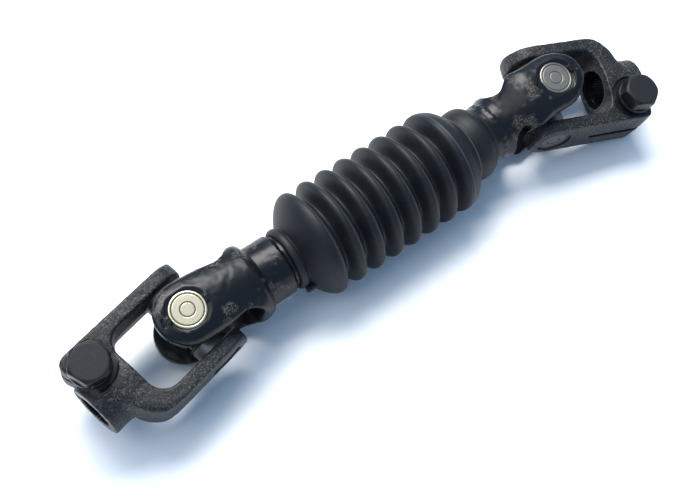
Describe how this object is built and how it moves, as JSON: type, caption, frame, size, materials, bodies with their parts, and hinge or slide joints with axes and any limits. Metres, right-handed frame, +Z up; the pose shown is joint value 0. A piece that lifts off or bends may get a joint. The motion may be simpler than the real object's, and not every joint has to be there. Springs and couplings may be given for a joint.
{
  "type": "steering universal joint",
  "caption": "Telescopic steering shaft with a universal joint and a slotted clamp yoke at each end, its splines covered by a ribbed rubber boot.",
  "frame": {"origin": "centre of the bounding box, at the height of the surface that it lies on", "axes": "+X along the telescopic shaft from the lower joint to the upper joint, +Z up, as it lies in the picture"},
  "size_m": [0.3084, 0.0668, 0.0516],
  "materials": {
    "black_paint": "semi-gloss over a forged surface",
    "black_zinc": "satin",
    "lower_cup_plating": "bright, slightly yellow plating",
    "upper_cup_plating": "dull nickel",
    "bright_steel": "ground and oiled",
    "rubber": "satin, moulded"
  },
  "bodies": {
    "lower_clamp": {"lower_clamp_yoke": "black_paint", "lower_pinch_bolt": "black_zinc", "lower_lock_washer": "black_zinc", "lower_cup_left": "lower_cup_plating", "lower_cup_right": "lower_cup_plating", "lower_needles_left": "bright_steel", "lower_needles_right": "bright_steel", "lower_seal_left": "rubber", "lower_seal_right": "rubber"},
    "lower_cross": {"lower_spider": "black_paint"},
    "lower_shaft": {"lower_cup_top": "lower_cup_plating", "lower_cup_bottom": "lower_cup_plating", "lower_needles_top": "bright_steel", "lower_needles_bottom": "bright_steel", "lower_seal_top": "rubber", "lower_seal_bottom": "rubber", "lower_shaft_yoke": "black_paint", "splined_tube": "black_paint", "boot": "rubber"},
    "upper_shaft": {"splined_shaft": "bright_steel", "upper_shaft_yoke": "black_paint", "upper_cup_top": "upper_cup_plating", "upper_cup_bottom": "upper_cup_plating", "upper_needles_top": "bright_steel", "upper_needles_bottom": "bright_steel", "upper_seal_top": "rubber", "upper_seal_bottom": "rubber"},
    "upper_clamp": {"upper_clamp_yoke": "black_paint", "upper_pinch_bolt": "black_zinc", "upper_lock_washer": "black_zinc", "upper_cup_left": "upper_cup_plating", "upper_cup_right": "upper_cup_plating", "upper_needles_left": "bright_steel", "upper_needles_right": "bright_steel", "upper_seal_left": "rubber", "upper_seal_right": "rubber"},
    "upper_cross": {"upper_spider": "black_paint"}
  },
  "joints": [
    {"name": "shaft_slide", "type": "slide", "parent": "lower_shaft", "child": "upper_shaft", "axis": [1, 0, 0], "range_m": [-0.02, 0.025], "deforming": ["boot"]},
    {"name": "lower_cross_turn", "type": "hinge", "parent": "lower_shaft", "child": "lower_cross", "pos_m": [-0.10009, 0.0064, 0.0254], "axis": [0, -0.2807, 0.9598], "range_deg": [-42.7, 17.3]},
    {"name": "lower_clamp_turn", "type": "hinge", "parent": "lower_cross", "child": "lower_clamp", "pos_m": [-0.10009, 0.0064, 0.0254], "axis": [-0.2198, 0.9363, 0.2738], "range_deg": [-33.4, 26.6]},
    {"name": "upper_cross_turn", "type": "hinge", "parent": "upper_shaft", "child": "upper_cross", "pos_m": [0.10141, 0.0064, 0.0254], "axis": [0, -0.2807, 0.9598], "range_deg": [-9.7, 50.3]},
    {"name": "upper_clamp_turn", "type": "hinge", "parent": "upper_cross", "child": "upper_clamp", "pos_m": [0.10141, 0.0064, 0.0254], "axis": [0.3469, 0.9002, 0.2632], "range_deg": [-32.9, 27.1]}
  ]
}
